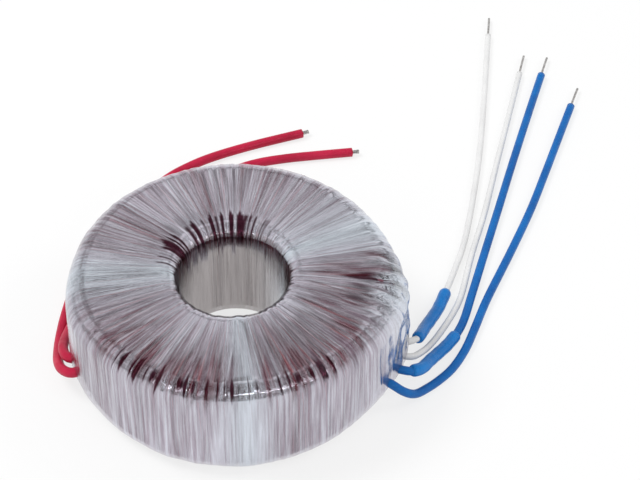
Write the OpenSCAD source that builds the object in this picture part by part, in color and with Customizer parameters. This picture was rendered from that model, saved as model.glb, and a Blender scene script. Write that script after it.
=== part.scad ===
/* [Body] */
// Outside diameter over the film, in mm
body_d = 95; // [85:0.5:115]
// Height over the film
body_h = 35; // [31:0.5:50]
// Diameter of the centre hole through the film
hole_d = 31; // [24:0.5:36]
// Radius of the rounded rim, top and bottom
rim_round = 6; // [5:0.25:6.25]
// Radius of the rounded edge of the centre hole
hole_round = 4; // [3.5:0.25:5]

/* [Film wrap] */
// Number of film laps around the ring
film_laps = 60; // [48:4:72]
// Height of a lap's edge at the rim
lap_step = 0.5; // [0.2:0.05:0.6]
// Unevenness of the laps
lap_crumple = 0.2; // [0:0.05:0.3]
// Film thickness on the wall of the centre hole
film_t_hole = 1.5; // [1.3:0.1:2]
// Film thickness on the top and bottom
film_t_end = 0.9; // [0.8:0.1:1.4]
// Film thickness at the rim
film_t_rim = 1; // [1:0.1:1.5]

/* [Secondary windings] */
// Turns of the outer secondary winding
outer_turns = 39; // [29:1:49]
// Diameter of the secondary wire
secondary_wire_d = 0.8; // [0.6:0.05:0.9]
// Corner radius under the outer secondary winding, at the rim
winding_rim_round = 6.8; // [6:0.1:7]
// Corner radius under the outer secondary winding, at the hole
winding_hole_round = 2.2; // [1.8:0.1:2.4]
// Build-up of the inner secondary winding at the hole
inner_secondary_t_hole = 1.6; // [1.2:0.1:2]
// Build-up of the inner secondary winding at the rim
inner_secondary_t_rim = 0.8; // [0.7:0.1:1.1]
// Thickness of the film between the two secondary windings
divider_film_t = 0.4; // [0.3:0.1:0.6]

/* [Primary winding] */
// Diameter of the primary wire
primary_wire_d = 0.4; // [0.3:0.05:0.5]
// Build-up of the primary winding at the hole
primary_t_hole = 2.4; // [1.8:0.1:3]
// Build-up of the primary winding on the ends
primary_t_end = 1.6; // [1.2:0.1:2]
// Build-up of the primary winding at the rim
primary_t_rim = 1.3; // [1:0.1:1.6]
// Thickness of the film over the primary winding
primary_film_t = 0.5; // [0.4:0.1:0.8]

/* [Core] */
// Thickness of the film on the core
core_film_t = 0.5; // [0.3:0.1:0.8]
// Thickness of each insulating end ring
end_ring_t = 1; // [0.8:0.1:1.5]
// Thickness of the steel strip
strip_t = 0.3; // [0.2:0.05:0.4]

/* [Lead exits] */
// Direction of the secondary leads around the ring, in degrees
secondary_exit = -18; // [-18:1:-18]
// Direction of the primary leads around the ring, in degrees
primary_exit = 195; // [195:1:195]
// Height of the lead exits above the base
exit_z = 9; // [9:0.25:10]
// Height of the slots in the film for the leads
exit_slot_h = 5; // [4.5:0.25:5]
// How far the film stands out over the secondary leads
secondary_bulge = 4.5; // [3.5:0.25:5]
// How far the film stands out over the primary leads
primary_bulge = 1.5; // [1:0.25:2]

/* [Leads] */
// Diameter of a blue lead
blue_lead_d = 2.6; // [2:0.1:2.6]
// Diameter of a white lead
white_lead_d = 2; // [1.6:0.1:2.2]
// Diameter of a red lead
red_lead_d = 3; // [2.2:0.1:3]
// Outside diameter of a short sleeve
sleeve_d = 3.8; // [3.4:0.1:4]
// Bare length of a solid wire end
bare_end_l = 9.5; // [3:0.5:13]
// Bare length of a stranded wire end
strand_end_l = 2.5; // [1:0.5:5]
// Diameter of one strand
strand_d = 0.4; // [0.25:0.05:0.5]

/* [Hidden] */

// Clearances between the layers, around the outer secondary, and at wires that pass a film
layer_gap = 0.05;
wire_gap = 0.1;
pass_gap = 0.3;
sleeve_gap = 0.1;

// Share of a corner's radius that an octagon drawn around the corner cuts off each side
octagon_cut = 2 - sqrt(2);

// A layer's outline: [hole radius, rim radius, half height, rim corner, hole corner]
function inset(e, hole, end, rim) = [
    e[0] + hole, e[1] - rim, e[2] - end,
    max(0.6, e[3] - (end + rim) / 2), max(0.6, e[4] - (end + hole) / 2)
];
function outset(e, t) = [e[0] - t, e[1] + t, e[2] + t, e[3] + t, e[4] + t];
function rounded(e, r) = [e[0], e[1], e[2], r, r];

body = [hole_d / 2, body_d / 2, body_h / 2, rim_round, hole_round];
cavity_bare = inset(body, film_t_hole, film_t_end, film_t_rim);
outer_layer_t = secondary_wire_d + 2 * wire_gap;
divider_size = inset(cavity_bare, outer_layer_t, outer_layer_t, outer_layer_t);
divider_out = [divider_size[0], divider_size[1], divider_size[2], winding_rim_round, winding_hole_round];
cavity = outset(divider_out, outer_layer_t);
turn_line = outset(divider_out, wire_gap + secondary_wire_d / 2);
divider_in = inset(divider_out, divider_film_t, divider_film_t, divider_film_t);
inner_secondary_out = inset(divider_in, layer_gap, layer_gap, layer_gap);
inner_secondary_in =
    inset(inner_secondary_out, inner_secondary_t_hole, secondary_wire_d, inner_secondary_t_rim);
primary_film_out = inset(inner_secondary_in, layer_gap, layer_gap, layer_gap);
primary_film_in = inset(primary_film_out, primary_film_t, primary_film_t, primary_film_t);
primary_out = inset(primary_film_in, layer_gap, layer_gap, layer_gap);
core_round = 0.6;
core_film_round = core_round + core_film_t;
primary_in = rounded(
    inset(primary_out, primary_t_hole, primary_t_end, primary_t_rim), core_film_round + layer_gap);
core_film_out = rounded(inset(primary_in, layer_gap, layer_gap, layer_gap), core_film_round);
core_film_in = rounded(inset(core_film_out, core_film_t, core_film_t, core_film_t), core_round);
core_edge_gap = 0.4;
core_in_r = core_film_in[0] + core_edge_gap;
core_out_r = core_film_in[1] - core_edge_gap;
core_half_h = core_film_in[2] - layer_gap - end_ring_t;
echo(core_r = [core_in_r, core_out_r], core_h = 2 * core_half_h);

// Lead exits, lined up with the gaps between the outer secondary's turns
turn_angle = 360 / (outer_turns + 1);
outer_start = secondary_exit - turn_angle / 3;
white_exits = [outer_start + turn_angle * 4 / 3, outer_start + turn_angle * 2 / 3];
blue_exits = [outer_start, outer_start - turn_angle * 2 / 3];
primary_turn = outer_start + turn_angle * round((primary_exit - outer_start) / turn_angle);
red_exits = [primary_turn - turn_angle / 3, primary_turn + turn_angle / 3];
stub_r = turn_line[1] + secondary_wire_d - wire_gap;
slot_top = exit_z + exit_slot_h / 2;
slot_bottom = exit_z - exit_slot_h / 2;
lap_angle = 360 / film_laps;
// First and last of the laps, counted from the secondary exit, that a row of leads comes through
function slot_laps(low, high) = let(side = asin(sleeve_d / body_d))
    [floor((low - side - secondary_exit) / lap_angle), ceil((high + side - secondary_exit) / lap_angle) - 1];
secondary_slot = slot_laps(blue_exits[1], white_exits[0]);
primary_slot = slot_laps(red_exits[0], red_exits[1]);

// Routes of the leads, from the winding to the end of the insulation
white_route_1 = [
    [46.4, -7.4, 9], [50, -7.6, 8.9], [53.6, -5.6, 8], [55.2, -2.4, 6.6], [56.8, 1.4, 5],
    [59.2, 6, 3.6], [62, 11.4, 2.5], [65, 18.4, 2], [69.4, 29.6, 1.4], [73.4, 41, 1.1],
    [78, 59, 1.1], [83, 82, 1.1], [88.2, 112, 1.1], [93, 142, 1.1]
];
white_route_2 = [
    [45.4, -12.2, 9], [48.8, -13, 8.9], [51.8, -12.6, 8.2], [54.4, -10, 6.8], [57, -6.2, 4.8],
    [60, -1.4, 3.3], [63.2, 4.2, 2.2], [66.4, 10, 1.5], [69.8, 17.8, 1.2], [75, 35, 1.1],
    [80.8, 52, 1.1], [87.2, 73.6, 1.1], [94.4, 97.6, 1.1], [101.4, 121, 1.1]
];
blue_route_1 = [
    [43.9, -16.8, 9], [47.4, -18, 8.9], [50.8, -18.4, 8.4], [54, -16.2, 7], [56.8, -12, 5.2],
    [59.8, -8, 3.8], [63, -4, 2.8], [66.2, 0.6, 2.1], [69.4, 7.2, 1.5], [73, 17.6, 1.3],
    [79.2, 35.6, 1.3], [85.6, 54, 1.3], [93.2, 76, 1.3], [101, 98, 1.3], [108.8, 119.6, 1.3]
];
blue_route_2 = [
    [41.9, -21.3, 9], [45, -23.4, 8.4], [48.2, -24.2, 6.2], [51.6, -23, 3.6], [55.4, -19.8, 2],
    [59.8, -16, 1.4], [64.2, -11.4, 1.3], [68.6, -4.4, 1.3], [72.6, 4.4, 1.3], [77.6, 15.8, 1.3],
    [87.2, 35, 1.3], [95.8, 53, 1.3], [103, 70, 1.3], [110, 87, 1.3], [116.6, 103, 1.3]
];
red_route_1 = [
    [-44.7, -14.5, 9], [-47.8, -14.4, 8.4], [-50.4, -11.6, 7], [-51.8, -7, 5],
    [-52.2, -1.4, 3.2], [-52, 5, 2], [-51, 13.6, 1.5], [-48.8, 24, 1.5], [-44.6, 36.4, 1.5],
    [-37.6, 49.6, 1.5], [-29, 62.4, 1.5], [-20.8, 72.4, 1.5], [-13.4, 78.2, 1.5],
    [-5, 82.8, 1.5], [8, 87.8, 1.5], [24.6, 93, 1.5]
];
red_route_2 = [
    [-46, -9.8, 9], [-48.8, -8.6, 8.8], [-50.2, -4.8, 7.8], [-50.2, 0, 6], [-49.4, 5.4, 4],
    [-48, 11.6, 2.4], [-45.4, 19.6, 1.6], [-40.8, 32, 1.5], [-33, 44.8, 1.5], [-23.4, 56.4, 1.5],
    [-12, 67, 1.5], [-1, 74.6, 1.5], [8.4, 78.8, 1.5], [18, 80.8, 1.5], [29, 82, 1.5],
    [40.6, 83, 1.5]
];
// The sleeves cover these points of their leads
white_sleeve_span = [2, 7];
blue_sleeve_span = [2, 7];
lead_sides = 8;

// Solid steel strip wound into a ring, with the step of the strip's end inside and outside
module core() {
    function spiral(r, turn) = [for (a = [0:6:354]) (r + turn * a / 360) * [cos(a), sin(a)]];
    color("dimgray")
        translate([0, 0, body_h / 2 - core_half_h])
            linear_extrude(2 * core_half_h)
                difference() {
                    polygon(spiral(core_out_r - strip_t, strip_t));
                    polygon(spiral(core_in_r, strip_t));
                }
}

module end_ring(z) {
    color("tan")
        translate([0, 0, z])
            difference() {
                cylinder(h = end_ring_t, r = core_out_r, $fn = 96);
                translate([0, 0, -1])
                    cylinder(h = end_ring_t + 2, r = core_in_r, $fn = 96);
            }
}

module end_ring_top() {
    end_ring(body_h / 2 + core_half_h);
}

module end_ring_bottom() {
    end_ring(body_h / 2 - core_half_h - end_ring_t);
}

// Flat section of a layer's outline, a rectangle with rounded corners
module layer_section(e) {
    rim_x = e[1] - e[3];
    hole_x = e[0] + e[4];
    polygon([
        [e[0], e[4] - e[2]], [hole_x, -e[2]], [rim_x, -e[2]], [e[1], e[3] - e[2]],
        [e[1], e[2] - e[3]], [rim_x, e[2]], [hole_x, e[2]], [e[0], e[2] - e[4]]
    ]);
    for (side = [-1, 1]) {
        translate([rim_x, side * (e[2] - e[3])])
            circle(e[3], $fn = 48);
        translate([hole_x, side * (e[2] - e[4])])
            circle(e[4], $fn = 48);
    }
}

// Closed shell between two outlines, all the way round
module layer(outside, inside) {
    translate([0, 0, body_h / 2])
        rotate_extrude($fn = 96)
            difference() {
                layer_section(outside);
                layer_section(inside);
            }
}

// Straight wires that run outward from radius r at each of the given directions
module lead_outs(exits, r, d) {
    for (a = exits)
        translate([0, 0, exit_z])
            rotate([0, 90, a])
                translate([0, 0, r])
                    cylinder(h = stub_r - r, d = d, $fn = 24);
}

module core_film() {
    color("gainsboro")
        layer(core_film_out, core_film_in);
}

module primary_winding() {
    color("brown") {
        layer(primary_out, primary_in);
        lead_outs(red_exits, (primary_out[1] + primary_in[1]) / 2, primary_wire_d);
    }
}

module primary_film() {
    color("gainsboro")
        difference() {
            layer(primary_film_out, primary_film_in);
            lead_outs(red_exits, primary_in[1], primary_wire_d + pass_gap);
        }
}

module inner_secondary_winding() {
    color("sienna")
        difference() {
            union() {
                layer(inner_secondary_out, inner_secondary_in);
                lead_outs(white_exits, (inner_secondary_out[1] + inner_secondary_in[1]) / 2,
                    secondary_wire_d);
            }
            lead_outs(red_exits, primary_in[1], primary_wire_d + pass_gap);
        }
}

module divider_film() {
    color("gainsboro")
        difference() {
            layer(divider_out, divider_in);
            lead_outs(red_exits, primary_in[1], primary_wire_d + pass_gap);
            lead_outs(white_exits, inner_secondary_in[1], secondary_wire_d + pass_gap);
        }
}

function unit(v) = v / norm(v);
function around(r, a, z) = [r * cos(a), r * sin(a), z];

// One turn's corner points [radius, height from the middle], from the foot of the rim inward
function octagon(e) = let(rim = octagon_cut * e[3], hole = octagon_cut * e[4]) [
    [e[1], rim - e[2]], [e[1] - rim, -e[2]], [e[0] + hole, -e[2]], [e[0], hole - e[2]],
    [e[0], e[2] - hole], [e[0] + hole, e[2]], [e[1] - rim, e[2]], [e[1], e[2] - rim]
];

// Ring of points around path point i; the flat between two straights is mitred
function tube_ring(path, i, d, sides, side_way) = let(
        last = len(path) - 1,
        before = unit(path[max(i, 1)] - path[max(i, 1) - 1]),
        after = unit(path[min(i, last - 1) + 1] - path[min(i, last - 1)]),
        along = unit(before + after),
        across = unit(side_way - (side_way * along) * along),
        out = cross(along, across),
        stretch = 2 / norm(before + after)
    ) [
        for (k = [0:sides - 1]) let(a = (k + 0.5) * 360 / sides)
            path[i] + d / 2 * (cos(a) * across + stretch * sin(a) * out)
    ];

function flat(lists) = [for (list = lists) for (item = list) item];

// Faces of a tube of rings, open at the ends
function tube_faces(rings, sides, first, flip) = [
    for (i = [0:rings - 2], k = [0:sides - 1]) let(
            a = first + i * sides + k,
            b = first + i * sides + (k + 1) % sides,
            quad = [[a, b + sides, b], [a, a + sides, b + sides]]
        ) for (f = quad) flip ? [f[2], f[1], f[0]] : f
];

// Solid rod of one diameter along a path; side_ways[i] fixes the roll at each point
module rod(path, d, sides, side_ways) {
    n = len(path);
    points = flat([for (i = [0:n - 1]) tube_ring(path, i, d, sides, side_ways[i])]);
    start_cap = [for (k = [0:sides - 1]) k];
    end_cap = [for (k = [0:sides - 1]) n * sides - 1 - k];
    polyhedron(points, concat([start_cap], tube_faces(n, sides, 0, false), [end_cap]), convexity = 10);
}

module outer_secondary_winding() {
    corners = octagon(turn_line);
    steps = outer_turns * 8 - 1;
    ends = blue_exits + [0, 360];
    turn_path = [
        for (i = [0:steps]) let(c = corners[i % 8])
            around(c[0], outer_start + turn_angle * i / 8, body_h / 2 + c[1])
    ];
    turn_sides = [
        for (i = [0:steps]) around(1, outer_start + turn_angle * i / 8 + 90, 0)
    ];
    first = [for (r = [stub_r, turn_line[1]]) around(r, ends[0], exit_z)];
    last = [for (r = [turn_line[1], stub_r]) around(r, ends[1], exit_z)];
    path = concat(first, turn_path, last);
    side_ways = concat(
        [for (k = [0, 1]) around(1, ends[0] + 90, 0)], turn_sides,
        [for (k = [0, 1]) around(1, ends[1] + 90, 0)]
    );
    color("chocolate")
        rod(path, secondary_wire_d, 6, side_ways);
}

// How far the film stands out over the leads in direction a, as a smooth hump
function hump(a, middle, width) = let(off = ((a - middle + 540) % 360 - 180) / width)
    exp(-off * off);
function bulge(a) = secondary_bulge * hump(a, secondary_exit + 6, 22)
    + primary_bulge * hump(a, primary_exit, 14);

// Outline of the film: [radius, height, way out in r, way out in z, lap share, bulge share]
function film_rows() = let(
        e = body, h = body_h, c = sqrt(0.5), s = sin(30), t = cos(30),
        hx = e[0] + e[4], rx = e[1] - e[3], top = h - e[3], hole_top = h - e[4]
    ) [
        [hx, 0, 0, 0, 0, 0],
        [hx - e[4] * c, e[4] * (1 - c), -c, -c, 0.2, 0],
        [e[0], e[4], -1, 0, 0.15, 0],
        [e[0], hole_top, -1, 0, 0.15, 0],
        [hx - e[4] * c, hole_top + e[4] * c, -c, c, 0.2, 0],
        [hx, h, 0, 1, 0.4, 0],
        [rx, h, 0, 1, 0.7, 0],
        [rx + e[3] * s, top + e[3] * t, s, t, 1, 0.15],
        [rx + e[3] * t, top + e[3] * s, t, s, 1, 0.5],
        [e[1], top, 1, 0, 1, 0.75],
        [e[1], slot_top, 1, 0, 1, 1],
        [e[1], slot_bottom, 1, 0, 1, 0.95],
        [e[1], e[3], 1, 0, 1, 0.7],
        [rx + e[3] * c, e[3] * (1 - c), c, 0, 0.8, 0.3],
        [rx, 0, 0, 0, 0, 0]
    ];
// Outline of the space inside the film: [radius, height, bulge share]
function cavity_rows() = let(
        e = cavity, rim = octagon_cut * e[3], hole = octagon_cut * e[4],
        low = body_h / 2 - e[2], high = body_h / 2 + e[2]
    ) [
        [e[0] + hole, low, 0], [e[0], low + hole, 0], [e[0], high - hole, 0],
        [e[0] + hole, high, 0], [e[1] - rim, high, 0], [e[1], high - rim, 0.55],
        [e[1], slot_top, 0.95], [e[1], slot_bottom, 0.9], [e[1], low + rim, 0.5], [e[1] - rim, low, 0]
    ];

// Film wrapped round the ring in laps: an outer skin with a step at each lap's edge, a plain
// inner skin, and a slot through both where the leads come out
module film_wrap() {
    outer = film_rows();
    inner = cavity_rows();
    no = len(outer);
    ni = len(inner);
    slot_o = 10;
    slot_i = 6;
    crumple = rands(-lap_crumple, lap_crumple, film_laps * 2 * no, 7);
    lap_edge = 0.85;

    function outer_point(j, i) = let(
            row = outer[i],
            a = secondary_exit + lap_angle * (floor(j / 2) + (j % 2) * lap_edge),
            sunk = lap_step * (1 - j % 2) + abs(crumple[j * no + i]),
            grow = bulge(a) * row[5] - sunk * row[4]
        ) around(row[0] + grow * row[2], a, row[1] + grow * row[3]);
    function inner_point(j, i) = let(row = inner[i], a = secondary_exit + lap_angle * j)
        around(row[0] + row[2] * bulge(a), a, row[1]);

    points = concat(
        [for (j = [0:2 * film_laps - 1], i = [0:no - 1]) outer_point(j, i)],
        [for (j = [0:film_laps - 1], i = [0:ni - 1]) inner_point(j, i)]
    );
    function o(j, i) = ((j + 2 * film_laps) % (2 * film_laps)) * no + i % no;
    function n(j, i) = 2 * film_laps * no + ((j + film_laps) % film_laps) * ni + i % ni;
    function in_slot(lap) = let(k = lap > secondary_slot[1] && lap - film_laps >= secondary_slot[0]
            ? lap - film_laps : lap)
        (k >= secondary_slot[0] && k <= secondary_slot[1]) || (k >= primary_slot[0] && k <= primary_slot[1]);

    skin = [
        for (j = [0:2 * film_laps - 1], i = [0:no - 1])
            if (!(i == slot_o && in_slot(floor(j / 2))))
                for (f = [[o(j, i), o(j + 1, i), o(j + 1, i + 1)], [o(j, i), o(j + 1, i + 1), o(j, i + 1)]]) f
    ];
    lining = [
        for (j = [0:film_laps - 1], i = [0:ni - 1])
            if (!(i == slot_i && in_slot(j)))
                for (f = [[n(j, i), n(j + 1, i + 1), n(j + 1, i)], [n(j, i), n(j, i + 1), n(j + 1, i + 1)]]) f
    ];
    function strip(k, so, si) = let(
            a = o(2 * k, so), b = o(2 * k + 1, so), c = o(2 * k + 2, so), p = n(k, si), q = n(k + 1, si)
        ) [[a, b, p], [b, c, q], [b, q, p]];
    function turned(faces) = [for (f = faces) [f[2], f[1], f[0]]];
    function slot_end(k) = let(a = o(2 * k, slot_o), b = o(2 * k, slot_o + 1))
        [[b, a, n(k, slot_i)], [b, n(k, slot_i), n(k, slot_i + 1)]];
    slot_walls = [
        for (k = [0:film_laps - 1]) if (in_slot(k)) for (f = concat(
            strip(k, slot_o, slot_i), turned(strip(k, slot_o + 1, slot_i + 1)),
            in_slot((k + film_laps - 1) % film_laps) ? [] : slot_end(k),
            in_slot((k + 1) % film_laps) ? [] : turned(slot_end(k + 1))
        )) f
    ];
    color("lavender")
        polyhedron(points, concat(skin, lining, slot_walls), convexity = 10);
}

// Way across each lead that keeps its ring of points from twisting
upright_roll = [0, 1, 0];
level_roll = [0, 0, 1];

module lead(route, d, roll) {
    rod(route, d, lead_sides, [for (p = route) roll]);
}

module red_lead_1() {
    color("crimson")
        lead(red_route_1, red_lead_d, level_roll);
}

module red_lead_2() {
    color("crimson")
        lead(red_route_2, red_lead_d, level_roll);
}

module white_lead_1() {
    color("whitesmoke")
        lead(white_route_1, white_lead_d, upright_roll);
}

module white_lead_2() {
    color("whitesmoke")
        lead(white_route_2, white_lead_d, upright_roll);
}

module blue_lead_1() {
    color("royalblue")
        lead(blue_route_1, blue_lead_d, upright_roll);
}

module blue_lead_2() {
    color("royalblue")
        lead(blue_route_2, blue_lead_d, upright_roll);
}

// Hollow sleeve over the stretch of a lead between two of its points
module sleeve(route, span, lead_d) {
    rings = span[1] - span[0] + 1;
    stop = rings * lead_sides;
    skins = [
        for (d = [sleeve_d, lead_d + 2 * sleeve_gap])
            flat([for (i = [span[0]:span[1]]) tube_ring(route, i, d, lead_sides, upright_roll)])
    ];
    end_faces = [
        for (k = [0:lead_sides - 1]) let(m = (k + 1) % lead_sides, e = stop - lead_sides) each [
            [k, stop + m, stop + k], [k, m, stop + m],
            [e + k, stop + e + m, e + m], [e + k, stop + e + k, stop + e + m]
        ]
    ];
    faces = concat(
        tube_faces(rings, lead_sides, 0, false), tube_faces(rings, lead_sides, stop, true), end_faces
    );
    polyhedron(concat(skins[0], skins[1]), faces, convexity = 10);
}

module white_lead_sleeve() {
    color("dodgerblue")
        sleeve(white_route_1, white_sleeve_span, white_lead_d);
}

module blue_lead_sleeve() {
    color("dodgerblue")
        sleeve(blue_route_1, blue_sleeve_span, blue_lead_d);
}

// Moves its children to the end of a route, with +Z along it
module at_end(route) {
    tip = route[len(route) - 1];
    way = unit(tip - route[len(route) - 2]);
    translate(tip)
        rotate([0, acos(way[2]), atan2(way[1], way[0])])
            children();
}

module solid_end(route) {
    color("silver")
        at_end(route)
            cylinder(h = bare_end_l, d = secondary_wire_d, $fn = 24);
}

// Seven strands, one in the middle of six
module stranded_end(route) {
    strand_pitch = strand_d + layer_gap;
    color("silver")
        at_end(route) {
            cylinder(h = strand_end_l, d = strand_d, $fn = 16);
            for (a = [0:60:300])
                rotate([0, 0, a])
                    translate([strand_pitch, 0, 0])
                        cylinder(h = strand_end_l, d = strand_d, $fn = 16);
        }
}

module red_wire_end_1() {
    stranded_end(red_route_1);
}

module red_wire_end_2() {
    stranded_end(red_route_2);
}

module white_wire_end_1() {
    solid_end(white_route_1);
}

module white_wire_end_2() {
    solid_end(white_route_2);
}

module blue_wire_end_1() {
    solid_end(blue_route_1);
}

module blue_wire_end_2() {
    solid_end(blue_route_2);
}

core();
end_ring_top();
end_ring_bottom();
core_film();
primary_winding();
primary_film();
inner_secondary_winding();
divider_film();
outer_secondary_winding();
film_wrap();
red_lead_1();
red_lead_2();
white_lead_1();
white_lead_2();
blue_lead_1();
blue_lead_2();
white_lead_sleeve();
blue_lead_sleeve();
red_wire_end_1();
red_wire_end_2();
white_wire_end_1();
white_wire_end_2();
blue_wire_end_1();
blue_wire_end_2();
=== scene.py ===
import math

import bpy
import numpy as np
from mathutils import Matrix, Vector


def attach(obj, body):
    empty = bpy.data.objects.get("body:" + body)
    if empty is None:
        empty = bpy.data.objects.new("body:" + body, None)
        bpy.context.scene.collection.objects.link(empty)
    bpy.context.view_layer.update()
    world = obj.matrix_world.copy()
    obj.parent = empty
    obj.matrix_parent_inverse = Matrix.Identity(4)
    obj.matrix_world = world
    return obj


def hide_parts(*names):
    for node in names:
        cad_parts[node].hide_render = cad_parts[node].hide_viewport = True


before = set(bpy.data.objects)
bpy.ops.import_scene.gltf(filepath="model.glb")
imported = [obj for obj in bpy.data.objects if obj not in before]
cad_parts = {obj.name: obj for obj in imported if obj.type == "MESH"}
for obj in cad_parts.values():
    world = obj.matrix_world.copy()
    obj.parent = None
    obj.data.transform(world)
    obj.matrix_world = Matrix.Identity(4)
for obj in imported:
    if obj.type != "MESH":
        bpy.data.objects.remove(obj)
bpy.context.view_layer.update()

MM = 0.001
random_numbers = np.random.default_rng

# Sizes of the wound ring, in metres
BODY_R = 47.5 * MM
HOLE_R = 15.5 * MM
BODY_H = 35 * MM
RIM_ROUND = 6 * MM
HOLE_ROUND = 5 * MM
LOW_HOLE_ROUND = 1.2 * MM

# Directions round the ring, in degrees from +X, of the two places where leads come out
SECONDARY_EXIT = -18
PRIMARY_EXIT = 195
# How far the film stands out there
SECONDARY_BULGE = 4.5 * MM
PRIMARY_BULGE = 1.5 * MM


# ---------------------------------------------------------------- camera

LENS_MM = 104.0
SENSOR_MM = 36
CAMERA_PLACE = (0, -0.36485, 0.41605)
CAMERA_AHEAD = (0.0477, 0.70037, -0.71219)
CAMERA_ACROSS = (0.99834, -0.05643, 0.01137)


def place_camera():
    """Long lens, from above the front, looking down at the ring at about 45 degrees."""
    data = bpy.data.cameras.new("camera")
    data.lens = LENS_MM
    data.sensor_width = SENSOR_MM
    camera = bpy.data.objects.new("camera", data)
    bpy.context.scene.collection.objects.link(camera)
    across = Vector(CAMERA_ACROSS).normalized()
    ahead = Vector(CAMERA_AHEAD).normalized()
    up = across.cross(ahead).normalized()
    turn = Matrix((across, up, -ahead)).transposed()
    camera.matrix_world = Matrix.Translation(CAMERA_PLACE) @ turn.to_4x4()
    bpy.context.scene.camera = camera


place_camera()


# ---------------------------------------------------------------- mesh helpers

def mesh_piece(name, points, quads, material, smooth=True):
    """An object at the origin made of the given points and four-cornered faces."""
    mesh = bpy.data.meshes.new(name)
    points = np.asarray(points, np.float32).reshape(-1, 3)
    quads = np.asarray(quads, np.int32).reshape(-1, 4)
    mesh.vertices.add(len(points))
    mesh.vertices.foreach_set("co", points.ravel())
    mesh.loops.add(quads.size)
    mesh.loops.foreach_set("vertex_index", quads.ravel())
    mesh.polygons.add(len(quads))
    mesh.polygons.foreach_set("loop_start", np.arange(0, quads.size, 4, dtype=np.int32))
    mesh.update(calc_edges=True)
    mesh.polygons.foreach_set("use_smooth", np.full(len(quads), smooth))
    mesh.materials.append(material)
    piece = bpy.data.objects.new(name, mesh)
    bpy.context.scene.collection.objects.link(piece)
    return piece


def grid_quads(rows, columns, close_rows, close_columns):
    """Faces of a grid of points numbered row by row, joined round where it closes on itself."""
    r = np.arange(rows if close_rows else rows - 1)
    c = np.arange(columns if close_columns else columns - 1)
    r, c = np.meshgrid(r, c, indexing="ij")
    r_next, c_next = (r + 1) % rows, (c + 1) % columns
    corners = [(r, c), (r, c_next), (r_next, c_next), (r_next, c)]
    return np.stack([row * columns + column for row, column in corners], axis=-1).reshape(-1, 4)


def add_uv(piece, uv):
    """Gives every point of a piece its own place (u, v) in the piece's UV map."""
    layer = piece.data.uv_layers.new(name="along")
    corner = np.empty(len(piece.data.loops), np.int32)
    piece.data.loops.foreach_get("vertex_index", corner)
    layer.data.foreach_set("uv", np.asarray(uv, np.float32).reshape(-1, 2)[corner].ravel())


def add_values(piece, name, values):
    """Gives every point of a piece one number under that name, for its material to read."""
    attribute = piece.data.attributes.new(name, "FLOAT", "POINT")
    attribute.data.foreach_set("value", np.asarray(values, np.float32).ravel())


# ---------------------------------------------------------------- material helpers

def new_material(name):
    """A node material that has only a Principled shader and its output."""
    material = bpy.data.materials.new(name)
    material.use_nodes = True
    return material


def shader_of(material):
    """The material's Principled shader."""
    return material.node_tree.nodes["Principled BSDF"]


def join(material, socket, value):
    """Sets a socket to a plain value, or links it where value is another node's output."""
    if isinstance(value, bpy.types.NodeSocket):
        material.node_tree.links.new(value, socket)
    else:
        socket.default_value = value


def node(material, kind, inputs=(), **settings):
    """Adds a node. inputs are (socket, value or output) pairs, and settings its own options."""
    made = material.node_tree.nodes.new("ShaderNode" + kind)
    for key, value in settings.items():
        setattr(made, key, value)
    for socket, value in inputs:
        join(material, made.inputs[socket], value)
    return made


def noise(material, vector, scale, detail=3, roughness=0.5):
    """Soft random value, about 0.3 to 0.7, that varies with the vector times the scale."""
    made = node(material, "TexNoise", [("Vector", vector), ("Scale", scale),
                                       ("Detail", detail), ("Roughness", roughness)])
    return made.outputs[0]


def to_range(material, value, low, high, new_low, new_high):
    """Carries values from low..high to new_low..new_high in a straight line, and no further."""
    made = node(material, "MapRange", [("Value", value), ("From Min", low), ("From Max", high),
                                       ("To Min", new_low), ("To Max", new_high)])
    return made.outputs["Result"]


def maths(material, operation, *values):
    """Result of one sum on one or more values."""
    return node(material, "Math", list(enumerate(values)), operation=operation).outputs[0]


def blend_colours(material, share, first, second):
    """The first colour where the share is 0, the second where it is 1."""
    made = node(material, "MixRGB", [("Fac", share), ("Color1", first), ("Color2", second)])
    return made.outputs[0]


def bumped(material, height, distance, strength=1.0):
    """Normal of a surface raised by the height times the distance."""
    made = node(material, "Bump", [("Height", height), ("Distance", distance),
                                   ("Strength", strength)])
    return made.outputs["Normal"]


def own_value(material, name):
    """Number that the mesh stores at each point under that name."""
    return node(material, "Attribute", attribute_name=name).outputs["Fac"]


def streak_place(material, fineness, along):
    """Place for a noise that runs in streaks from the hole to the rim and down the side: the
    direction from the ring's axis, times the fineness, with a little of the height and radius."""
    place = node(material, "TexCoord").outputs["Object"]
    parts = node(material, "SeparateXYZ", [("Vector", place)]).outputs
    flat = node(material, "CombineXYZ", [("X", parts["X"]), ("Y", parts["Y"])]).outputs[0]
    outward = node(material, "VectorMath", [(0, flat)], operation="NORMALIZE").outputs[0]
    radius = node(material, "VectorMath", [(0, flat)], operation="LENGTH").outputs["Value"]
    run = maths(material, "SUBTRACT", parts["Z"], radius)
    lift = node(material, "CombineXYZ", [("Z", maths(material, "MULTIPLY", run, along))]).outputs[0]
    spread = node(material, "VectorMath", [(0, outward), ("Scale", fineness)], operation="SCALE")
    both = [(0, spread.outputs[0]), (1, lift)]
    return node(material, "VectorMath", both, operation="ADD").outputs[0]


# ---------------------------------------------------------------- leads

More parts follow.
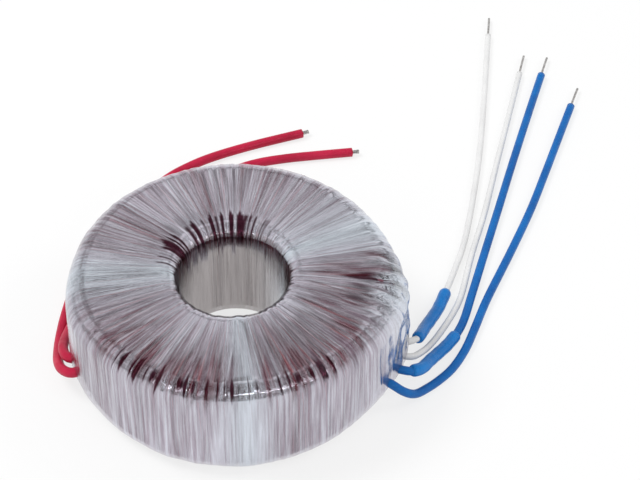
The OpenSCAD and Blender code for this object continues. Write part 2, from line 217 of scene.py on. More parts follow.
WHITE_ROUTE_1 = [
    (46.4, -7.4, 9), (50, -7.6, 8.9), (53.6, -5.6, 8), (55.2, -2.4, 6.6), (56.8, 1.4, 5),
    (59.2, 6, 3.6), (62, 11.4, 2.5), (65, 18.4, 2), (69.4, 29.6, 1.4), (73.4, 41, 1.1),
    (78, 59, 1.1), (83, 82, 1.1), (88.2, 112, 1.1), (93, 142, 1.1),
]
WHITE_ROUTE_2 = [
    (45.4, -12.2, 9), (48.8, -13, 8.9), (51.8, -12.6, 8.2), (54.4, -10, 6.8), (57, -6.2, 4.8),
    (60, -1.4, 3.3), (63.2, 4.2, 2.2), (66.4, 10, 1.5), (69.8, 17.8, 1.2), (75, 35, 1.1),
    (80.8, 52, 1.1), (87.2, 73.6, 1.1), (94.4, 97.6, 1.1), (101.4, 121, 1.1),
]
BLUE_ROUTE_1 = [
    (43.9, -16.8, 9), (47.4, -18, 8.9), (50.8, -18.4, 8.4), (54, -16.2, 7), (56.8, -12, 5.2),
    (59.8, -8, 3.8), (63, -4, 2.8), (66.2, 0.6, 2.1), (69.4, 7.2, 1.5), (73, 17.6, 1.3),
    (79.2, 35.6, 1.3), (85.6, 54, 1.3), (93.2, 76, 1.3), (101, 98, 1.3), (108.8, 119.6, 1.3),
]
BLUE_ROUTE_2 = [
    (41.9, -21.3, 9), (45, -23.4, 8.4), (48.2, -24.2, 6.2), (51.6, -23, 3.6), (55.4, -19.8, 2),
    (59.8, -16, 1.4), (64.2, -11.4, 1.3), (68.6, -4.4, 1.3), (72.6, 4.4, 1.3), (77.6, 15.8, 1.3),
    (87.2, 35, 1.3), (95.8, 53, 1.3), (103, 70, 1.3), (110, 87, 1.3), (116.6, 103, 1.3),
]
RED_ROUTE_1 = [
    (-44.7, -14.5, 9), (-47.8, -14.4, 8.4), (-50.4, -11.6, 7), (-51.8, -7, 5), (-52.2, -1.4, 3.2),
    (-52, 5, 2), (-51, 13.6, 1.5), (-48.8, 24, 1.5), (-44.6, 36.4, 1.5), (-37.6, 49.6, 1.5),
    (-29, 62.4, 1.5), (-20.8, 72.4, 1.5), (-13.4, 78.2, 1.5), (-5, 82.8, 1.5), (8, 87.8, 1.5),
    (24.6, 93, 1.5),
]
RED_ROUTE_2 = [
    (-46, -9.8, 9), (-48.8, -8.6, 8.8), (-50.2, -4.8, 7.8), (-50.2, 0, 6), (-49.4, 5.4, 4),
    (-48, 11.6, 2.4), (-45.4, 19.6, 1.6), (-40.8, 32, 1.5), (-33, 44.8, 1.5), (-23.4, 56.4, 1.5),
    (-12, 67, 1.5), (-1, 74.6, 1.5), (8.4, 78.8, 1.5), (18, 80.8, 1.5), (29, 82, 1.5),
    (40.6, 83, 1.5),
]
RED_D = 3.0 * MM
WHITE_D = 2.0 * MM
BLUE_D = 2.6 * MM
# A sleeve covers its lead between these two points of the route
SLEEVE_SPAN = (2, 7)
SLEEVE_D = 3.8 * MM
SLEEVE_LIP = 0.35 * MM
WIRE_D = 0.8 * MM
BARE_END_L = 9.5 * MM
BARE_END_BEND = 0.25 * MM
STRAND_D = 0.4 * MM
STRAND_END_L = 2.5 * MM
STRAND_PITCH = 0.45 * MM


def smooth_line(route, step):
    """Catmull-Rom curve through a route given in millimetres: between two points it is the cubic
    that leaves each along the line joining that point's neighbours. Sampled about step apart."""
    p = np.asarray(route, float) * MM
    p = np.vstack([2 * p[0] - p[1], p, 2 * p[-1] - p[-2]])
    t = np.linspace(0, 1, 24, endpoint=False)[None, :, None]
    a, b, c, d = (p[i:len(p) - 3 + i, None, :] for i in range(4))
    curve = 0.5 * (2 * b + (c - a) * t + (2 * a - 5 * b + 4 * c - d) * t ** 2
                   + (3 * b - a - 3 * c + d) * t ** 3)
    curve = np.vstack([curve.reshape(-1, 3), p[-2]])
    run = np.concatenate([[0], np.cumsum(np.linalg.norm(np.diff(curve, axis=0), axis=1))])
    even = np.linspace(0, run[-1], max(2, int(round(run[-1] / step)) + 1))
    return np.stack([np.interp(even, run, curve[:, i]) for i in range(3)], axis=1), even


def line_sides(line):
    """Unit directions along, across and above a line of points, from its tangent and +Z."""
    tangent = np.gradient(line, axis=0)
    tangent /= np.linalg.norm(tangent, axis=1, keepdims=True)
    across = np.cross(tangent, (0, 0, 1))
    across /= np.linalg.norm(across, axis=1, keepdims=True)
    return tangent, across, np.cross(across, tangent)


def tube(name, line, run, radius, sides, material):
    """Round tube along a line: at each point a circle of that radius, square to the line. Each
    end is closed by three smaller rings, as a cut with a softly rounded edge."""
    radius = np.broadcast_to(radius, (len(line),)).astype(float)
    tangent, across, above = line_sides(line)
    shrink, push = np.array([0.94, 0.7, 0.02]), np.array([0.0, 0.12, 0.16])

    def capped(values, low, high):
        return np.concatenate([low[::-1], values, high])

    first = line[0] - tangent[0] * (push * radius[0])[:, None]
    last = line[-1] + tangent[-1] * (push * radius[-1])[:, None]
    line = capped(line, first, last)
    across = capped(across, np.tile(across[0], (3, 1)), np.tile(across[-1], (3, 1)))
    above = capped(above, np.tile(above[0], (3, 1)), np.tile(above[-1], (3, 1)))
    radius = capped(radius, shrink * radius[0], shrink * radius[-1])
    run = capped(run, np.full(3, run[0]), np.full(3, run[-1]))
    turn = np.linspace(0, 2 * math.pi, sides, endpoint=False)
    ring = (np.cos(turn)[None, :, None] * across[:, None, :]
            + np.sin(turn)[None, :, None] * above[:, None, :])
    points = line[:, None, :] + radius[:, None, None] * ring
    piece = mesh_piece(name, points, grid_quads(len(line), sides, False, True), material)
    u = np.broadcast_to(turn[None, :] / (2 * math.pi), (len(line), sides))
    v = np.broadcast_to(run[:, None], (len(line), sides))
    add_uv(piece, np.stack([u, v], axis=-1))
    return piece


def insulation(name, deep, bright, roughness, coat):
    """Extruded plastic cover: colour that drifts a little along the lead, scuffs that dull it,
    and fine drawing lines along it."""
    material = new_material(name)
    place = node(material, "TexCoord").outputs["Object"]
    drift = noise(material, place, 90, 4, 0.6)
    specks = noise(material, place, 1400, 2)
    shade = maths(material, "ADD", maths(material, "MULTIPLY", drift, 0.8),
                  maths(material, "MULTIPLY", specks, 0.2))
    shader = shader_of(material)
    colour = blend_colours(material, to_range(material, shade, 0.3, 0.7, 0, 1), deep, bright)
    join(material, shader.inputs["Base Color"], colour)
    scuffs = noise(material, place, 420, 5, 0.65)
    dull = to_range(material, scuffs, 0.4, 0.7, roughness, roughness + 0.22)
    join(material, shader.inputs["Roughness"], dull)
    shader.inputs["Coat Weight"].default_value = coat
    shader.inputs["Specular IOR Level"].default_value = 0.26
    shader.inputs["Coat Roughness"].default_value = 0.12
    uv = node(material, "UVMap", uv_map="along").outputs["UV"]
    drawn = node(material, "Mapping", [("Vector", uv), ("Scale", (24, 90, 1))]).outputs[0]
    height = maths(material, "ADD", noise(material, drawn, 1, 3), noise(material, place, 700, 3))
    join(material, shader.inputs["Normal"], bumped(material, height, 0.04 * MM, 0.25))
    return material


def bare_metal(name, deep, bright, roughness):
    """Drawn metal with soft dull patches and fine scratches."""
    material = new_material(name)
    place = node(material, "TexCoord").outputs["Object"]
    patches = noise(material, place, 900, 4, 0.6)
    shader = shader_of(material)
    colour = blend_colours(material, to_range(material, patches, 0.35, 0.65, 0, 1), deep, bright)
    join(material, shader.inputs["Base Color"], colour)
    shader.inputs["Metallic"].default_value = 0.9
    dull = to_range(material, patches, 0.3, 0.7, roughness, roughness + 0.2)
    join(material, shader.inputs["Roughness"], dull)
    join(material, shader.inputs["Normal"], bumped(material, patches, 0.03 * MM, 0.4))
    return material


red_plastic = insulation("red_insulation", deep=(0.38, 0.006, 0.035, 1),
                         bright=(0.56, 0.012, 0.06, 1), roughness=0.42, coat=0.1)
white_plastic = insulation("white_insulation", deep=(0.70, 0.70, 0.70, 1),
                           bright=(0.80, 0.80, 0.80, 1), roughness=0.36, coat=0.2)
blue_plastic = insulation("blue_insulation", deep=(0.0, 0.085, 0.33, 1),
                          bright=(0.0, 0.155, 0.5, 1), roughness=0.34, coat=0.1)
sleeve_plastic = insulation("blue_sleeving", deep=(0.0, 0.13, 0.44, 1),
                            bright=(0.003, 0.21, 0.62, 1), roughness=0.26, coat=0.2)
tinned = bare_metal("tinned_copper", deep=(0.34, 0.32, 0.31, 1), bright=(0.66, 0.65, 0.64, 1),
                    roughness=0.3)


def carry(piece, replaced):
    """Fixes a piece to the ring, in place of a CAD node, which it hides."""
    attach(piece, "root")
    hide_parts(replaced)
    return piece


def solid_end(name, line):
    """Single bare wire that carries on from the insulation, with a slight bend."""
    way = (line[-1] - line[-4]) / np.linalg.norm(line[-1] - line[-4])
    t = np.linspace(0, 1, 9)[:, None]
    lift = np.array((0, 0, 1)) * BARE_END_BEND * np.sin(math.pi * t)
    points = line[-1] + way * BARE_END_L * t + lift
    return tube(name, points, t[:, 0] * BARE_END_L, WIRE_D / 2, 14, tinned)


def stranded_end(name, line, seed):
    """Short brush of seven strands, one in the middle of six, that spread a little at the tip."""
    draw = random_numbers(seed)
    way = (line[-1] - line[-4]) / np.linalg.norm(line[-1] - line[-4])
    across = np.cross(way, (0, 0, 1))
    above = np.cross(across, way)
    t = np.linspace(0, 1, 6)[:, None]
    strands = []
    for k in range(7):
        turn = math.radians(60 * k)
        side = (math.cos(turn) * across + math.sin(turn) * above) * (0 if k == 6 else STRAND_PITCH)
        spread = side * (0.9 + draw.uniform(0.1, 0.5) * t ** 2)
        points = line[-1] + way * STRAND_END_L * draw.uniform(0.85, 1.0) * t + spread
        strands.append(tube(f"{name}_{k}", points, t[:, 0] * STRAND_END_L, STRAND_D / 2, 8, tinned))
    return joined(name, strands)


def joined(name, parts):
    """Makes one object of several that have the same material."""
    with bpy.context.temp_override(active_object=parts[0], object=parts[0],
                                   selected_objects=parts, selected_editable_objects=parts):
        bpy.ops.object.join()
    parts[0].name = name
    return parts[0]


def make_sleeve(name, route):
    """Outer sleeve over the part of a lead where it leaves the ring. Its end lips roll in onto
    the lead, and it is a little fuller between its bends."""
    line, run = smooth_line(route[SLEEVE_SPAN[0]:SLEEVE_SPAN[1] + 1], 0.8 * MM)
    radius = SLEEVE_D / 2 * (1 - 0.03 * np.cos(6 * math.pi * run / run[-1]) ** 2)
    edge = np.minimum(run, run[-1] - run)
    radius = radius - SLEEVE_LIP * np.exp(-(edge / SLEEVE_LIP) ** 2)
    return carry(tube(name + "_tube", line, run, radius, 24, sleeve_plastic), name)


def make_lead(name, route, diameter, material, slot, stiffness, sleeve_name=None):
    """One free lead: a tube along its route, the bare wire at its end, and a sleeve over its
    first stretch where it has one."""
    line, run = smooth_line(route, 1.2 * MM)
    cover = carry(tube(name + "_cover", line, run, diameter / 2, 20, material), name)
    end_node = name.replace("lead", "wire_end")
    if material is red_plastic:
        end = stranded_end(end_node + "_strands", line, len(route))
    else:
        end = solid_end(end_node + "_bare", line)
    on_it = [carry(end, end_node)]
    if sleeve_name:
        on_it.append(make_sleeve(sleeve_name, route))


RED = {"diameter": RED_D, "material": red_plastic, "slot": "red_insulation",
       "stiffness": "medium"}
WHITE = {"diameter": WHITE_D, "material": white_plastic, "slot": "white_insulation",
         "stiffness": "stiff"}
BLUE = {"diameter": BLUE_D, "material": blue_plastic, "slot": "blue_insulation",
        "stiffness": "stiff"}
make_lead("red_lead_1", RED_ROUTE_1, **RED)
make_lead("red_lead_2", RED_ROUTE_2, **RED)
make_lead("white_lead_1", WHITE_ROUTE_1, **WHITE, sleeve_name="white_lead_sleeve")
make_lead("white_lead_2", WHITE_ROUTE_2, **WHITE)
make_lead("blue_lead_1", BLUE_ROUTE_1, **BLUE, sleeve_name="blue_lead_sleeve")
make_lead("blue_lead_2", BLUE_ROUTE_2, **BLUE)


# ---------------------------------------------------------------- film wrap

# Rows of points along each stretch of the section, and columns round the ring
ROWS = {"bottom": 5, "low_rim": 8, "side": 14, "rim": 13,
        "top": 18, "hole": 11, "bore": 8, "low_hole": 4}
COLUMNS = 1200
INNER_COLUMNS = 960
TURNS_SEEN = 160
DEEPEST_FOLD = 0.85 * MM
# Parts of the ring where the film is flatter, paler or less clear than elsewhere, and where a dark
# reflection is painted into its colour: direction and width in degrees, then share
CALM_SECTORS = ((-87, 7, 1), (181, 11, 1), (20, 7, 0.6))
PALE_SECTORS = ((181, 12, 1), (-87, 7, 0.8), (20, 8, 0.7), (30, 22, 0.35))
SOLID_SECTORS = ((22, 24, 1), (90, 40, 0.5))
# Zones where a dark reflection is painted into the film's colour
PAINTED_DARK_AT_HOLE = ((95, 48, 1), (158, 22, 0.8))
PAINTED_DARK_AT_FRONT = ((-118, 28, 1), (-60, 26, 1))
PAINTED_DARK_AT_RIGHT = ((-14, 17, 1),)
# Groups of folds: direction and spread in degrees, number, and reach inward in millimetres
FOLD_GROUPS = ((-118, 26, 22, 9), (-58, 24, 26, 9), (-14, 20, 20, 22))


def section():
    """Outline of the ring's section, once round: four corners, each a quarter circle about its
    own centre, joined by straight stretches. Gives the rows, each with its radius, height and
    outward direction, and the run along them."""
    rim_x, hole_x, low_hole_x = BODY_R - RIM_ROUND, HOLE_R + HOLE_ROUND, HOLE_R + LOW_HOLE_ROUND
    corners = [
        (rim_x, RIM_ROUND, RIM_ROUND, -90, "low_rim", "side"),
        (rim_x, BODY_H - RIM_ROUND, RIM_ROUND, 0, "rim", "top"),
        (hole_x, BODY_H - HOLE_ROUND, HOLE_ROUND, 90, "hole", "bore"),
        (low_hole_x, LOW_HOLE_ROUND, LOW_HOLE_ROUND, 180, "low_hole", "bottom"),
    ]
    arcs = []
    for x, z, r, start, arc, _ in corners:
        a = np.radians(np.linspace(start, start + 90, ROWS[arc]))
        arcs.append(np.stack([x + r * np.cos(a), z + r * np.sin(a), np.cos(a), np.sin(a)], axis=1))
    pieces = []
    for i, corner in enumerate(corners):
        after = arcs[(i + 1) % 4]
        t = np.linspace(0, 1, ROWS[corner[5]] + 2)[1:-1, None]
        pieces += [arcs[i], arcs[i][-1] * (1 - t) + after[0] * t]
    rows = np.vstack(pieces)
    steps = np.linalg.norm(np.diff(rows[:, :2], axis=0), axis=1)
    return rows, np.concatenate([[0], np.cumsum(steps)])


def hump(angle, middle, width):
    """Smooth hump round the ring: 1 at the middle, falling off over the width, in degrees."""
    away = (np.degrees(angle) - middle + 900) % 360 - 180
    return np.exp(-(away / width) ** 2)


def humps(angle, table):
    """Sum of the humps in a table of directions, widths and shares."""
    return sum(share * hump(angle, middle, width) for middle, width, share in table)


def bulge(angle, radius, height):
    """How far the film stands out over the leads: two smooth humps round the ring, each fullest
    at the leads' height and gone at the top and bottom faces. Inward of 42 mm from the axis they
    fade, and within 36 mm there are none, so the hole stays clear."""
    share = np.interp(height, np.array([0, 1.8, 6, 6.5, 11.5, 29, 32, 34.2, 35]) * MM,
                      [0, 0.3, 0.7, 0.95, 1, 0.75, 0.5, 0.15, 0])
    share = share * np.clip((radius - 36 * MM) / (6 * MM), 0, 1)
    return share * (SECONDARY_BULGE * hump(angle, SECONDARY_EXIT + 6, 22)
                    + PRIMARY_BULGE * hump(angle, PRIMARY_EXIT, 14))


def strips(angle, run, count, drift, seed):
    """Heights from 0 to 1 of a skin of flat strips: knots stand round the ring at uneven angles,
    each with a random height that drifts along the section, and the height runs straight from
    knot to knot. drift is the share of the height that changes along the section."""
    draw = random_numbers(seed)
    knots = (np.arange(count) + draw.uniform(-0.42, 0.42, count)) * 2 * math.pi / count
    stations = 9
    steady = draw.random(count)
    moving = draw.random((stations, count))
    sway = draw.uniform(-0.3, 0.3, (stations, count)) * 2 * math.pi / count
    where = run / run[-1] * stations
    low = np.floor(where).astype(int) % stations
    share = (where - np.floor(where))[:, None]
    share = share * share * (3 - 2 * share)
    moved = moving[low] * (1 - share) + moving[(low + 1) % stations] * share
    swayed = sway[low] * (1 - share) + sway[(low + 1) % stations] * share
    heights = steady * (1 - drift) + moved * drift
    return np.stack([np.interp(angle, knots + s, h, period=2 * math.pi)
                     for s, h in zip(swayed, heights)])


def crumple(angle, run, seed):
    """Uneven waves, about -1 to 1: a quarter of the sum of ten crossing sine waves of seeded
    lengths and ways."""
    draw = random_numbers(seed)
    total = 0
    for _ in range(10):
        turns, bends = draw.integers(14, 70), draw.integers(3, 16) * draw.choice([-1, 1])
        along = bends * run[:, None] / run[-1] * 2 * math.pi
        total = total + np.sin(turns * angle + along + draw.uniform(0, 2 * math.pi))
    return total / 4


def creases(angle, run, corner_run, seed):
    """Narrow folds, from 0 to 1: each is a smooth hump round the ring and another along the
    section, near the upper corner of the front half, and leans a little off the radial way."""
    draw = random_numbers(seed)
    total = 0
    for middle, spread, count, reach in FOLD_GROUPS:
        for _ in range(count):
            at = middle + draw.uniform(-spread, spread)
            inward = run[:, None] - corner_run - draw.uniform(0, reach) * MM
            lean = draw.uniform(-2, 5) * inward / (10 * MM)
            length = draw.uniform(3, 6.5) * MM
            fold = hump(angle, at + lean, draw.uniform(0.6, 1.8)) * np.exp(-(inward / length) ** 2)
            total = np.maximum(total, draw.uniform(0.5, 1) * fold)
    return total


def painted_dark_reflection_streaks(angle, run, corner_run, at_hole):
    """Painted dark reflection, from 0 to 1: streaks where the film's colour is painted near black,
    standing for the dark room mirrored in its folds. They stand where the height of a strip and its
    closeness to one of the zones together pass a limit. The zones lie on the far side of the hole's
    upper edge, on the front upper corner and inward of it."""
    inward = (run[:, None] - corner_run) / MM
    at_back = np.clip(1.5 * at_hole, 0, 1) * np.clip(humps(angle, PAINTED_DARK_AT_HOLE), 0, 1)
    at_front = np.exp(-((inward - 1.5) / 5) ** 2)
    at_front = at_front * np.clip(humps(angle, PAINTED_DARK_AT_FRONT), 0, 1)
    at_right = np.exp(-((inward - 9) / 9) ** 2) * humps(angle, PAINTED_DARK_AT_RIGHT)
    back = strips(angle, run, count=190, drift=0.3, seed=25) + 0.66 * at_back - 1.05
    front = strips(angle, run, count=420, drift=0.25, seed=23) + 0.66 * at_front - 1.03
    right = strips(angle, run, count=170, drift=0.35, seed=26) + 0.6 * at_right - 1.03
    return np.clip(np.maximum(np.maximum(back, front), right) / 0.16, 0, 1)


def wrap_skin(material):
    """The outer film: the ring's section carried round the axis, moved in and out square to it.
    It stands out by the bulge over the leads and by crumples where it is loose. It is sunk by
    the sum of wide laps, narrow strips, gathers at the hole's upper edge, fine strips and folds.
    That sum is in proportion to the radius, because the film is gathered in the hole, and its
    hyperbolic tangent keeps it short of the deepest fold."""
    rows, run = section()
    angle = np.linspace(0, 2 * math.pi, COLUMNS, endpoint=False)
    radius, height, way_r, way_z = (rows[:, i][:, None] for i in range(4))
    corner_run = run[ROWS["low_rim"] + ROWS["side"] + ROWS["rim"] // 2]

    calm = 1 - 0.75 * np.clip(humps(angle, CALM_SECTORS), 0, 1)
    flattened = 0.4 + 0.6 * calm
    from_edge = np.hypot(radius - HOLE_R, height - BODY_H)
    at_hole = np.exp(-((from_edge - 3 * MM) / (5 * MM)) ** 2)
    on_top = np.clip((height - 30 * MM) / (4 * MM), 0, 1)
    in_bore = np.clip((HOLE_R + 1.5 * MM - radius) / (1.5 * MM), 0, 1)
    on_side = np.clip((radius - 46 * MM) / MM, 0, 1)
    loose = hump(angle, SECONDARY_EXIT + 8, 17) * np.clip(height / BODY_H * 1.4, 0, 1)
    loose = loose * np.clip((radius - 36 * MM) / (8 * MM), 0, 1)

    folds = creases(angle, run, corner_run, seed=9)
    wide = 0.42 * strips(angle, run, count=62, drift=0.35, seed=3) * flattened
    narrow = 0.32 + 0.45 * on_top + 0.6 * at_hole
    narrow = narrow * strips(angle, run, count=170, drift=0.45, seed=4) * calm
    gathered = 1.5 * at_hole * strips(angle, run, count=84, drift=0.3, seed=21) * calm
    fine = 0.09 * strips(angle, run, count=430, drift=0.6, seed=5) * flattened
    depth = radius / BODY_R * MM * (wide + narrow + gathered + fine + 0.5 * folds)
    depth = depth * (1 - 0.75 * in_bore)
    sunk = DEEPEST_FOLD * np.tanh(depth / DEEPEST_FOLD)
    out = bulge(angle, radius, height) - sunk + 0.55 * MM * loose * crumple(angle, run, seed=8)
    r = radius + out * way_r
    z = np.clip(height + out * way_z, 0, BODY_H)
    points = np.stack([r * np.cos(angle), r * np.sin(angle), z], axis=-1)
    quads = grid_quads(len(rows), COLUMNS, True, True)[:, ::-1]
    piece = mesh_piece("film_laps", points, quads, material)

    shine = strips(angle, run, count=150, drift=0.5, seed=6)
    cloudy = np.interp(angle, np.arange(24) * math.pi / 12, random_numbers(12).random(24),
                       period=2 * math.pi)
    pale = np.clip(humps(angle, PALE_SECTORS) + 0.9 * loose, 0, 1)
    band_end = (25 + 4 * strips(angle, run, count=110, drift=0.1, seed=10)) * MM
    band = in_bore * np.clip((height - band_end) / (0.8 * MM), 0, 1)
    solid = (0.55 * shine + 0.3 * cloudy + 0.5 * pale + 0.4 * in_bore + 0.2 * on_side
             + 0.3 * at_hole + 0.3 * on_top * humps(angle, SOLID_SECTORS)
             - 1.1 * folds - 1.4 * band)
    add_values(piece, "solid", np.clip(solid, 0, 1))
    # Painted dark reflection: streaks where the film's colour is painted near black
    add_values(piece, "painted_dark_reflection", painted_dark_reflection_streaks(angle, run, corner_run, at_hole))
    add_values(piece, "pale", pale)
    add_values(piece, "lining", in_bore * (1 - 0.6 * band))
    return piece


def film_material():
    """Clear film in many layers: silvery where air lies between them, so part of it mirrors and
    part lets the copper below show. Strips differ in how solid they are, with fine streaks, and in
    streaks of painted dark reflection its colour is nearly black and it is more solid."""
    material = new_material("wrap_film")
    shader = shader_of(material)
    fine = noise(material, streak_place(material, 60, 40), 1, 4, 0.6)
    finer = noise(material, streak_place(material, 190, 60), 1, 3, 0.6)
    streaks = to_range(material, fine, 0.35, 0.65, 0, 1)
    lavender = blend_colours(material, streaks, (0.55, 0.49, 0.57, 1), (0.69, 0.69, 0.77, 1))
    lined = blend_colours(material, own_value(material, "lining"), lavender, (0.45, 0.42, 0.42, 1))
    colour = blend_colours(material, own_value(material, "pale"), lined, (0.66, 0.71, 0.78, 1))
    # Painted dark reflection: the colour goes near black and the film more solid, standing for the
    # dark room mirrored in its folds
    painted_dark_reflection = own_value(material, "painted_dark_reflection")
    colour = blend_colours(material, painted_dark_reflection, colour, (0.055, 0.013, 0.026, 1))
    join(material, shader.inputs["Base Color"], colour)
    shader.inputs["Metallic"].default_value = 0.95
    join(material, shader.inputs["Roughness"], to_range(material, finer, 0.3, 0.7, 0.04, 0.14))
    cover = to_range(material, own_value(material, "solid"), 0, 1, 0.28, 0.97)
    cover = maths(material, "ADD", cover, to_range(material, streaks, 0, 1, -0.16, 0.12))
    cover = maths(material, "ADD", cover, maths(material, "MULTIPLY", painted_dark_reflection, 0.4))
    join(material, shader.inputs["Alpha"], maths(material, "MINIMUM", cover, 1.0))
    height = maths(material, "ADD", fine, maths(material, "MULTIPLY", finer, 0.5))
    join(material, shader.inputs["Normal"], bumped(material, height, 0.2 * MM, 0.28))
    return material


def inner_laps(material):
    """The deeper film, drawn down onto the wire: the ring's section set in by a constant depth,
    less a ridge over each turn, which is the root of a half sine round the ring times an uneven
    height. An uneven share of red wire shows through."""
    rows, run = section()
    angle = np.linspace(0, 2 * math.pi, INNER_COLUMNS, endpoint=False)
    radius, height, way_r, way_z = (rows[:, i][:, None] for i in range(4))
    ridge = np.abs(np.sin(angle * TURNS_SEEN / 2)) ** 0.5
    ridge = ridge * strips(angle, run, count=TURNS_SEEN, drift=0.3, seed=15)
    sunk = DEEPEST_FOLD + (0.5 - 0.4 * ridge * radius / BODY_R) * MM
    r = radius - sunk * way_r
    z = height - sunk * way_z
    points = np.stack([r * np.cos(angle), r * np.sin(angle), z], axis=-1)
    quads = grid_quads(len(rows), INNER_COLUMNS, True, True)[:, ::-1]
    piece = mesh_piece("film_inner_laps", points, quads, material)
    add_values(piece, "wire", strips(angle, run, count=210, drift=0.3, seed=16))
    return piece


def inner_lap_material():
    """Red brown enamelled wire seen through film that lies close on it: streaks of wire colour,
    greyer where air is caught, with fine lines along the turns."""
    material = new_material("film_on_wire")
    shader = shader_of(material)
    fine = noise(material, streak_place(material, 90, 30), 1, 3, 0.6)
    wire = own_value(material, "wire")
    red = blend_colours(material, to_range(material, fine, 0.35, 0.65, 0, 1),
                        (0.03, 0.0015, 0.006, 1), (0.18, 0.009, 0.026, 1))
    colour = blend_colours(material, to_range(material, wire, 0.45, 0.85, 0, 0.75), red,
                           (0.22, 0.15, 0.20, 1))
    join(material, shader.inputs["Base Color"], colour)
    shader.inputs["Metallic"].default_value = 0.4
    join(material, shader.inputs["Roughness"], to_range(material, fine, 0.3, 0.7, 0.16, 0.34))
    join(material, shader.inputs["Normal"], bumped(material, fine, 0.25 * MM, 0.6))
    return material


carry(wrap_skin(film_material()), "film_wrap")
carry(inner_laps(inner_lap_material()), "film_wrap")


# ---------------------------------------------------------------- what lies under the film

def enamelled(name, deep, bright, turns):
    """Enamelled copper turns laid side by side: streaks of deep and bright red brown."""
    material = new_material(name)
    shader = shader_of(material)
    streaks = noise(material, streak_place(material, turns, 8), 1, 2)
    colour = blend_colours(material, to_range(material, streaks, 0.35, 0.65, 0, 1), deep, bright)
    join(material, shader.inputs["Base Color"], colour)
    shader.inputs["Metallic"].default_value = 0.35
    join(material, shader.inputs["Roughness"], to_range(material, streaks, 0.3, 0.7, 0.2, 0.4))
    join(material, shader.inputs["Normal"], bumped(material, streaks, 0.5 * MM, 0.8))
    return material


def plain_surface(name, deep, bright, roughness, scale, metallic=0.0):
    """Inner part: two close colours in soft blotches, and a slightly uneven surface."""
    material = new_material(name)
    blotches = noise(material, node(material, "TexCoord").outputs["Object"], scale, 4)
    shader = shader_of(material)
    colour = blend_colours(material, to_range(material, blotches, 0.35, 0.65, 0, 1), deep, bright)
    join(material, shader.inputs["Base Color"], colour)
    shader.inputs["Metallic"].default_value = metallic
    rough = to_range(material, blotches, 0.3, 0.7, roughness, roughness + 0.15)
    join(material, shader.inputs["Roughness"], rough)
    join(material, shader.inputs["Normal"], bumped(material, blotches, 0.1 * MM, 0.3))
    return material


def dress(material, *names):
    """Gives the frame's own solids of those names a material."""
    for name in names:
        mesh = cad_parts[name].data
        mesh.materials.clear()
        mesh.materials.append(material)


secondary_copper = enamelled("secondary_copper", deep=(0.12, 0.01, 0.02, 1),
                             bright=(0.36, 0.04, 0.05, 1), turns=110)
primary_copper = enamelled("primary_copper", deep=(0.25, 0.07, 0.03, 1),
                           bright=(0.5, 0.2, 0.1, 1), turns=160)
inner_film = plain_surface("inner_film", deep=(0.7, 0.7, 0.68, 1), bright=(0.85, 0.85, 0.83, 1),
                           roughness=0.25, scale=300)
steel = plain_surface("core_steel", deep=(0.28, 0.28, 0.3, 1), bright=(0.42, 0.42, 0.43, 1),
                      roughness=0.35, scale=500, metallic=0.9)
pressboard = plain_surface("pressboard", deep=(0.55, 0.44, 0.28, 1),
                           bright=(0.68, 0.56, 0.38, 1), roughness=0.8, scale=700)
dress(secondary_copper, "outer_secondary_winding", "inner_secondary_winding", "divider_film")
dress(primary_copper, "primary_winding")
dress(inner_film, "core_film", "primary_film")
dress(steel, "core")
dress(pressboard, "end_ring_top", "end_ring_bottom")


# ---------------------------------------------------------------- studio

FLOOR_HALF = 3.0
FLOOR_GREY = 0.86
FLOOR_GLOW = 0.75
SOFT_LIGHT = 0.62
BRIGHTEST_MIRRORED = 2.2
AIM = (0.02, 0, 0.02)


def studio_floor():
    """Pale floor. To the eye and in mirrors it is near white and still takes a soft shadow."""
    low, high = -FLOOR_HALF, FLOOR_HALF
    corners = [(low, low, 0), (high, low, 0), (high, high, 0), (low, high, 0)]
    material = new_material("studio_floor")
    shader = shader_of(material)
    shader.inputs["Base Color"].default_value = (FLOOR_GREY, FLOOR_GREY, FLOOR_GREY, 1)
    shader.inputs["Roughness"].default_value = 0.9
    shader.inputs["Specular IOR Level"].default_value = 0.1
    light = node(material, "LightPath").outputs
    seen = maths(material, "MAXIMUM", light["Is Camera Ray"],
                 maths(material, "MAXIMUM", light["Is Glossy Ray"], light["Is Transmission Ray"]))
    glow = node(material, "Emission", [("Color", (1, 1, 1, 1)), ("Strength", 1.0)]).outputs[0]
    mixed = node(material, "MixShader", [(0, maths(material, "MULTIPLY", seen, FLOOR_GLOW)),
                                         (1, shader.outputs[0]), (2, glow)]).outputs[0]
    join(material, material.node_tree.nodes["Material Output"].inputs["Surface"], mixed)
    mesh_piece("floor", corners, [(0, 1, 2, 3)], material, smooth=False)


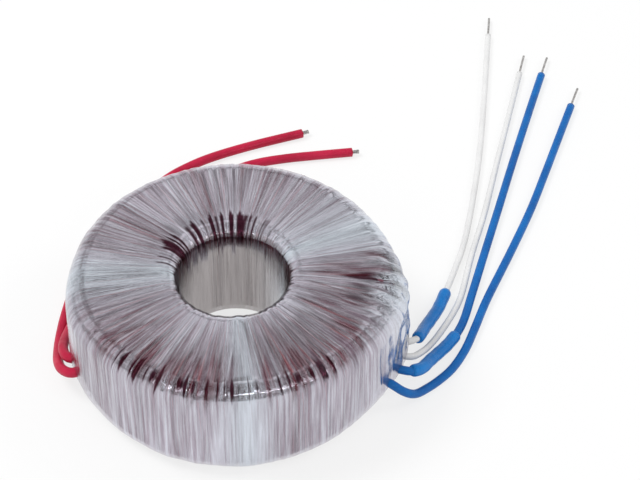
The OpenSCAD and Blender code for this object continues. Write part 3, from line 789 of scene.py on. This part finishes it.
def studio_world():
    """White room. In mirrors its raised front is dark with bright upright gaps, as the unlit end
    of a room, the upper part is grey in soft patches, and the rest is white."""
    world = bpy.data.worlds.new("studio")
    bpy.context.scene.world = world
    world.use_nodes = True
    background = world.node_tree.nodes["Background"]
    way = node(world, "TexCoord").outputs["Generated"]
    parts = node(world, "SeparateXYZ", [("Vector", way)]).outputs
    front = to_range(world, parts["Y"], -0.1, 0.3, 1, 0)
    raised = to_range(world, parts["Z"], 0.05, 0.15, 0, 1)
    narrow = to_range(world, maths(world, "ABSOLUTE", parts["X"]), 0.45, 0.75, 1, 0)
    dark = maths(world, "MULTIPLY", maths(world, "MULTIPLY", front, raised), narrow)
    patches = to_range(world, noise(world, way, 4.5, 2), 0.4, 0.6, 0.28, 1.1)
    raised_share = to_range(world, parts["Z"], 0.15, 0.45, 0, 1)
    upper = maths(world, "ADD", maths(world, "MULTIPLY", raised_share, patches),
                  maths(world, "SUBTRACT", 1.0, raised_share))
    across = node(world, "CombineXYZ", [("X", parts["X"])]).outputs[0]
    gaps = to_range(world, noise(world, across, 12, 1), 0.52, 0.57, 0.02, BRIGHTEST_MIRRORED)
    unshaded = maths(world, "MULTIPLY", upper, maths(world, "SUBTRACT", 1.0, dark))
    level = maths(world, "ADD", unshaded, maths(world, "MULTIPLY", gaps, dark))
    light = node(world, "LightPath").outputs
    mirrored = maths(world, "MULTIPLY", light["Is Glossy Ray"], level)
    soft = maths(world, "MULTIPLY", light["Is Diffuse Ray"], SOFT_LIGHT)
    total = maths(world, "ADD", mirrored, soft)
    total = maths(world, "ADD", total, light["Is Camera Ray"])
    total = maths(world, "ADD", total, light["Is Transmission Ray"])
    background.inputs["Color"].default_value = (1, 1, 1, 1)
    total = maths(world, "MINIMUM", total, BRIGHTEST_MIRRORED)
    join(world, background.inputs["Strength"], total)


def soft_lamp(name, place, size, power, mirrored):
    """Rectangular soft box at a place, facing the ring. Only a mirrored one shows in mirrors."""
    data = bpy.data.lights.new(name, "AREA")
    data.shape = "RECTANGLE"
    data.size, data.size_y = size
    data.energy = power
    lamp = bpy.data.objects.new(name, data)
    bpy.context.scene.collection.objects.link(lamp)
    aim = (Vector(AIM) - Vector(place)).to_track_quat("-Z", "Y")
    lamp.matrix_world = Matrix.Translation(place) @ aim.to_matrix().to_4x4()
    lamp.visible_glossy = mirrored


studio_floor()
studio_world()
soft_lamp("key_lamp", (-0.7, 0.25, 1.1), size=(0.5, 0.5), power=9, mirrored=False)
soft_lamp("front_strip", (0.1, -0.85, 0.75), size=(0.3, 0.03), power=0.5, mirrored=True)
soft_lamp("left_strip", (-0.55, -0.6, 0.65), size=(0.06, 0.4), power=0.5, mirrored=True)
soft_lamp("right_strip", (0.55, -0.6, 0.65), size=(0.06, 0.4), power=0.5, mirrored=True)
soft_lamp("right_lamp", (0.9, 0.1, 0.7), size=(0.3, 0.6), power=2.0, mirrored=False)
bpy.context.scene.view_settings.view_transform = "Standard"
